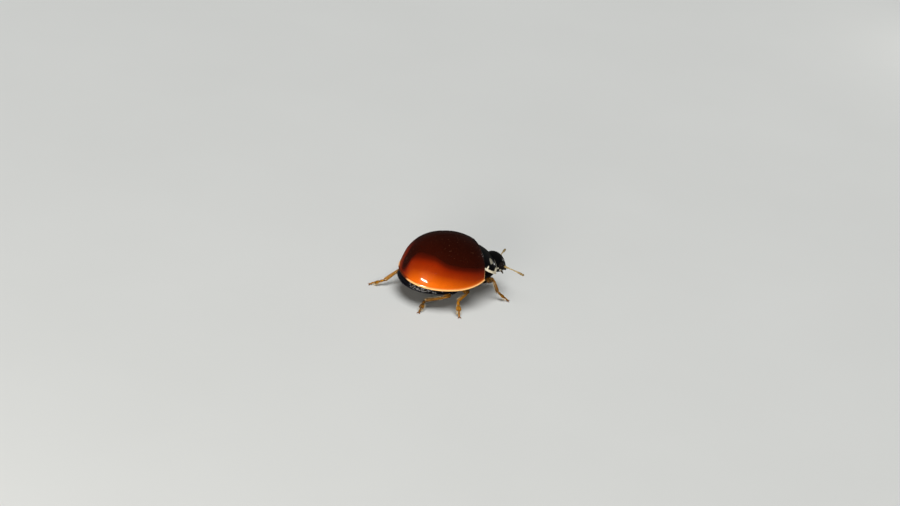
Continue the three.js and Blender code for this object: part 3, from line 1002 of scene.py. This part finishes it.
def leg_places(name):
    """A leg's joints and directions; along and across are the foot's, over the floor."""
    row, hand = name.split("_")
    (hip, femur, tibia), side = PAIRS[row], SIDES[hand]
    femur_way, tibia_way, (ahead, out) = STANCE[name]
    hip = at_side(hip, side)
    knee = hip + heading(*femur_way, side) * femur
    ankle = knee + heading(*tibia_way, side) * tibia
    claw = vec(ankle[0] + ahead, ankle[1] + out * side, FLOOR)
    thigh, shin = unit(knee - hip), unit(ankle - knee)
    bend = unit(np.cross(thigh, shin))
    along = unit((claw - ankle) * [1, 1, 0])
    return dims(
        hip=hip, knee=knee, ankle=ankle, claw=claw, toe=claw + UP * 0.05 - along * 0.1,
        thigh=thigh, shin=shin, bend=bend, above=unit(np.cross(shin, bend)),
        along=along, across=np.cross(UP, along))


LEGS = {name: leg_places(name) for name in STANCE}


def leg_form(leg):
    """Coxa, trochanter, femur, tibia with its spurs, and the lobed tarsus."""
    hip, knee, ankle, toe = leg.hip, leg.knee, leg.ankle, leg.toe
    neck = hip + leg.thigh * REACH.neck
    knee_end, shin_start = knee + leg.thigh * REACH.thigh, knee + leg.shin * REACH.shin
    calf = (knee + ankle) / 2 + leg.above * REACH.calf
    arch = (ankle * 0.55 + toe * 0.45) + UP * REACH.arch
    first, second = (bezier([ankle, arch, toe], t) for t in FOOT_JOINTS)
    foot_start = ankle - leg.shin * REACH.ankle
    last_root = second - leg.along * REACH.last_joint + UP * REACH.last_rise
    knuckle = (second + toe) / 2 + UP * REACH.knuckle
    forms = [
        tube_form(ball_points(24, 32) * COXA.half + hip + UP * COXA.rise),
        limb([hip, neck, hip + leg.thigh * REACH.trochanter], *LIMBS.trochanter, rings=12),
        limb([neck, (hip + knee) / 2, knee_end], *LIMBS.femur, leg.bend, 26, 24),
        limb([shin_start, calf, ankle], *LIMBS.tibia, leg.bend, 26, 20),
    ]
    lobes = []
    for spread in (-1, 1):
        spur = ankle - leg.shin * SPUR.back + leg.bend * spread * SPUR.aside
        spur_tip = spur + leg.shin * SPUR.long + leg.bend * spread * SPUR.splay
        forms.append(limb([spur, spur_tip], *LIMBS.spur, rings=8, around=8))
        aside = leg.across * spread
        lobe = (first + second) / 2 + aside * LOBE.aside
        lobe_tip = second + leg.along * LOBE.long - UP * LOBE.sunk + aside * LOBE.tip
        lobes.append(limb([first, lobe, lobe_tip], *LIMBS.lobe, rings=14))
    return joined([
        *forms, limb([foot_start, (ankle + first) / 2, first], *LIMBS.first_joint),
        *lobes, limb([last_root, knuckle, toe], *LIMBS.last_joint),
    ])


def claw_form(leg):
    """Two curved claws, each with a tooth at its base."""
    root = leg.claw + UP * CLAW.rise - leg.along * CLAW.back
    forms = []
    for aside in (-leg.across, leg.across):
        tip = leg.claw + aside * CLAW.tip + UP * CLAW.tip_rise
        arch = root + leg.along * CLAW.arch + aside * CLAW.arch_aside + UP * CLAW.arch_rise
        tooth = root + leg.along * CLAW.tooth + aside * CLAW.tooth_aside
        point = tooth + leg.along * CLAW.point - UP * CLAW.point_sunk
        forms += [limb([root, arch, tip], *LIMBS.claw, rings=14, around=10),
                  limb([tooth, point], *LIMBS.tooth, rings=8, around=8)]
    return joined(forms)


def limb_place(points, start, end):
    """How far along a limb points lie, and whether near it and on its underside."""
    way = end - start
    along = clamp((points - start) @ way / np.dot(way, way))
    offset = points - start - way * along[:, None]
    near = (distance(offset) < 0.25) * (along < 1)
    return along, near, near * ease(0.01, -0.05, offset[:, 2])


def leg_joints_and_shade(leg):
    """Paints one leg: dark on the thigh and at the joints, and painted shade on the underside."""
    def dusk(points):
        along = (points - leg.hip) @ leg.thigh / np.linalg.norm(leg.knee - leg.hip)
        from_knee, from_ankle = distance(points, leg.knee), distance(points, leg.ankle)
        thigh = 1 - DUSK.fade * ease(*DUSK.thigh, along)
        shade = thigh * (along < 1.02) * (from_knee > 0.05)
        shade = shade + DUSK.knee * bell(from_knee, 0, 0.09)
        shade = shade + DUSK.ankle * bell(from_ankle, 0, 0.06)
        _, _, under_shin = limb_place(points, leg.knee, leg.ankle)
        foot, near_foot, under_foot = limb_place(points, leg.ankle, leg.claw)
        for line in FOOT_LINES:
            shade = shade + DUSK.line * near_foot * bell(foot, line, 0.045)
        return clamp(shade + DUSK.under * np.maximum(under_shin, under_foot))

    return dusk


def build_legs():
    skin = leg_material("leg_cuticle", LEG_GOLD, LEG_DARK)
    horn = material("claw_horn")
    for name, leg in LEGS.items():
        nodes = [f"{segment}_{name}" for segment in ("coxa", "femur", "tibia", "tarsus")]
        piece(f"leg_{name}", leg_form(leg), nodes, skin, marks={"dusk": leg_joints_and_shade(leg)})
        piece(f"claws_{name}", claw_form(leg), [], horn)


# ---- hairs

# A hair has seven points: a ring at its root, one half way, and its tip. Each ring has its
# share of the length, its share of the width, and how far the hair bows out there.
HAIR_RINGS = ((0.0, 1.0, 0.0), (0.5, 0.7, 0.1))
HAIR_ANGLES = (0, 2.1, 4.2)
HAIR_FACES = ((0, 1, 4, 3), (1, 2, 5, 4), (2, 0, 3, 5), (3, 4, 6, 6), (4, 5, 6, 6), (5, 3, 6, 6),
              (2, 1, 0, 0))
HAIR_POINTS = 7
HAIR_PATCH = 0.003 * np.array(
    [(0, 0), (1, 0), (0.5, 1), (0.1, 0.3), (0.9, 0.3), (0.5, 0.8), (0.5, 0.5)])
# the belly's coats: count, lowest and highest place, hindmost and foremost place, width, lift
COATS = {
    "belly_hairs": (1700, 0.25, 0.86, -2.3, 3.0, 0.009, 0.2),
    "margin_hairs_painted_glint": (1000, 0.7, 0.92, -2.0, -0.9, 0.02, 0.35),
}
# a leg's hairs: the limb's first and last width, count and length
SHIN_HAIRS, THIGH_HAIRS = (0.07, 0.096, 230, 0.09), (0.15, 0.14, 90, 0.06)
PAD_HAIRS, LEG_HAIR_WIDTH = 170, 0.009


def hair_form(roots, ways, normals, lengths, width):
    """Thin three-sided hairs that bend along their way."""
    across = unit(np.cross(ways, normals))
    out = unit(np.cross(across, ways))
    points = []
    for along, thick, lift in HAIR_RINGS:
        centre = roots + ways * (lengths * along)[:, None] + out * (lengths * lift)[:, None]
        for angle in HAIR_ANGLES:
            ring = across * math.cos(angle) + out * math.sin(angle)
            points.append(centre + ring * width * thick / 2)
    points.append(roots + ways * lengths[:, None])
    first = HAIR_POINTS * np.arange(len(roots))[:, None]
    faces = np.concatenate([first + np.array(face) for face in HAIR_FACES])
    return np.stack(points, 1).reshape(-1, 3), faces


def hair_piece(name, hairs, width, finish):
    """A coat, with each hair's patch of the OFBake map at its root's place on the skin."""
    *hairs, places = hairs
    mesh = raw_mesh(name, hair_form(*hairs, width))
    mesh.update()
    corner = np.zeros(len(mesh.loops), int)
    mesh.loops.foreach_get("vertex_index", corner)
    unwrapped = places[corner // HAIR_POINTS] * 0.99 + HAIR_PATCH[corner % HAIR_POINTS]
    layer = mesh.uv_layers.new(name="OFBake")
    layer.data.foreach_set("uv", unwrapped.astype(np.float32).ravel())
    on_body(name, mesh, finish)


def underside_roots(direction, t):
    """Roots on the underside and the way out of it there."""
    step = 1e-3
    roots = underside_point(direction, t)
    du = underside_point(direction + step, t) - roots
    dv = underside_point(direction, t + step) - roots
    normals = unit(np.cross(du, dv))
    inwards = (normals * (roots - [0, 0, 0.5])).sum(1)[:, None] < 0
    return roots, np.where(inwards, -normals, normals)


def build_underside_hairs():
    """Short hairs that lie back along the belly: dark over it, and close under the rim pale hairs
    whose silvery white is a painted glint.
    """
    for name, (count, low, high, hindmost, foremost, width, lift) in COATS.items():
        direction, t = rng.uniform(0, TURN, count), rng.uniform(low, high, count)
        roots, normals = underside_roots(direction, t)
        x = roots[:, 0]
        ways = unit(vec(-1, 0, -0.1) + rng.normal(0, 0.2, (count, 3)))
        ways = unit(ways - normals * (ways * normals).sum(1)[:, None] + normals * lift)
        keep = (x < base_line(roots[:, 1]) - 0.15) & (x > hindmost)
        keep &= x < foremost + rng.normal(0, 0.3, count)
        lengths = rng.uniform(0.05, 0.1, count) * (1 - 0.5 * ease(-1.6, -2.1, x))
        hairs = roots, ways, normals, lengths, stack(direction / TURN, t)
        hair_piece(name, [part[keep] for part in hairs], width, material(name))


def limb_hairs(number, start, end, above, first, last, count, long):
    """Hairs all round a limb, which lean towards its end."""
    t, angle = rng.uniform(0.12, 0.98, count), rng.uniform(0, TURN, count)
    axis = unit(end - start)
    s = unit(np.cross(axis, above + 0.01))
    normals = s * np.cos(angle)[:, None] + np.cross(s, axis) * np.sin(angle)[:, None]
    radius = (first + (last - first) * t) * 0.8
    roots = start + (end - start) * t[:, None] + normals * radius[:, None]
    ways = unit(axis + normals * 0.45 + rng.normal(0, 0.12, (count, 3)))
    places = stack((number + t) / len(LEGS), angle / TURN)
    return roots, ways, normals, rng.uniform(0.7, 1.2, count) * long, places


def pad_hairs(number, leg):
    """The pads under a foot, whose hairs stop just above the floor."""
    t, spread = rng.uniform(0.2, 0.75, PAD_HAIRS), rng.uniform(-1, 1, PAD_HAIRS)
    across = leg.across * spread[:, None]
    roots = leg.ankle + (leg.toe - leg.ankle) * t[:, None] + across * 0.13 - UP * 0.03
    ways = leg.along * 0.5 - UP + across * 0.3 + rng.normal(0, 0.1, (PAD_HAIRS, 3))
    ways = unit(ways)
    room = (roots[:, 2] - FLOOR) / np.maximum(-ways[:, 2], 0.2) * 0.95
    lengths = np.minimum(rng.uniform(0.06, 0.11, PAD_HAIRS), room)
    places = stack((number + t) / len(LEGS), 0.5 + 0.4 * spread)
    return roots, ways, np.tile(leg.along, (PAD_HAIRS, 1)), lengths, places


def build_leg_hairs():
    """Fine golden hairs along the shins and thighs, and dense pads under the lobed feet."""
    sets = []
    for number, leg in enumerate(LEGS.values()):
        sets += [
            limb_hairs(number, leg.knee, leg.ankle, leg.above, *SHIN_HAIRS),
            limb_hairs(number, leg.hip, leg.knee, leg.above, *THIGH_HAIRS),
            pad_hairs(number, leg),
        ]
    hairs = [np.concatenate(column) for column in zip(*sets)]
    hair_piece("leg_hairs", hairs, LEG_HAIR_WIDTH, material("hair_golden_glint"))


# ---- floor, light and camera

VIEW = dims(azimuth=-22, elevation=27, roll=-8, distance=126.3, aside=0.379, above=0.899, lens=100)
# soft boxes: name, azimuth, elevation, distance, width, height, power, colour, mirrored by gloss
BOXES = (
    ("key", -60, 0.6, 60, 22, 0.8, 0.014, (1.0, 0.96, 0.9), True),
    ("front", 118, 4, 60, 4, 4, 0.0005, (1.0, 0.98, 0.95), True),
    ("side", -36, 12, 140, 70, 40, 0.1, (1.0, 0.96, 0.9), False),
)
SKY = dims(azimuth=-10, elevation=76, spread=46, strength=2.9, colour=(0.97, 0.99, 1.0))
STUDIO = dims(colour=(1.0, 0.98, 0.93, 1), seen=0.58, lit=0.03)  # walls seen, and what they light
FLOOR_HALF = 1.5  # metres


def build_floor():
    h = FLOOR_HALF
    mesh = bpy.data.meshes.new("floor")
    mesh.from_pydata([(-h, -h, 0), (h, -h, 0), (h, h, 0), (-h, h, 0)], [], [(0, 1, 2, 3)])
    mesh.materials.append(material("floor_pale"))
    floor = in_scene("floor", mesh)
    floor.visible_glossy = False  # the gloss mirrors the dim room, as a dark ground would be


def direction_to(azimuth, elevation):
    """By degrees round from the beetle's right, and degrees above level."""
    (sa, ca), (se, ce) = sine_cosine(azimuth), sine_cosine(elevation)
    return Vector((sa * ce, -ca * ce, se))


def turn_to(made, quaternion):
    made.rotation_mode = "QUATERNION"
    made.rotation_quaternion = quaternion


def build_camera():
    forward = -direction_to(VIEW.azimuth, VIEW.elevation)
    (s, c), (sr, cr) = sine_cosine(VIEW.azimuth), sine_cosine(VIEW.roll)
    right = Vector((c, s, 0))
    up = right.cross(forward)
    across, upward = right * cr - up * sr, right * sr + up * cr
    data = bpy.data.cameras.new("camera")
    data.lens, data.sensor_width = VIEW.lens, 36
    data.clip_start, data.clip_end = 0.001, 20
    camera = in_scene("camera", data)
    aim = RIM + (across * VIEW.aside + upward * VIEW.above) * MM
    camera.location = aim - forward * VIEW.distance * MM
    turn_to(camera, Matrix((across, upward, -forward)).transposed().to_quaternion())
    bpy.context.scene.camera = camera


def add_light(name, kind, azimuth, elevation, energy, colour, mirrored=False):
    """A light that faces the body, and that gloss mirrors or doesn't."""
    data = bpy.data.lights.new(name, kind)
    data.energy, data.color = energy, colour
    light = in_scene(name, data)
    back = direction_to(azimuth, elevation)
    turn_to(light, back.to_track_quat("Z", "Y"))
    light.visible_glossy = mirrored
    return light, back


def build_light():
    """Soft boxes, a wide sky that lights the whole floor evenly, and pale walls all round."""
    for name, azimuth, elevation, distance, wide, tall, power, colour, mirrored in BOXES:
        box, back = add_light(name, "AREA", azimuth, elevation, power, colour, mirrored)
        box.data.shape = "RECTANGLE"
        box.data.size, box.data.size_y = wide * MM, tall * MM
        box.location = RIM + back * distance * MM
        box.visible_camera = False
    sky, _ = add_light("sky", "SUN", SKY.azimuth, SKY.elevation, SKY.strength, SKY.colour)
    sky.data.angle = math.radians(SKY.spread)

    world = bpy.data.worlds.new("studio")
    world.use_nodes = True
    tree = world.node_tree
    wall = tree.nodes["Background"]
    wall.inputs["Color"].default_value = STUDIO.colour
    seen = node(tree, "LightPath", "Is Camera Ray", {})
    ends = {"To Min": STUDIO.lit, "To Max": STUDIO.seen}
    strength = node(tree, "MapRange", "Result", {"Value": seen, **ends})
    tree.links.new(strength, wall.inputs["Strength"])
    bpy.context.scene.world = world
    bpy.context.scene.view_settings.view_transform = "Standard"


build_camera()
build_floor()
build_light()
build_wing_cases()
build_scutellum()
build_pronotum()
build_head()
build_feelers()
build_underside()
build_legs()
build_underside_hairs()
build_leg_hairs()
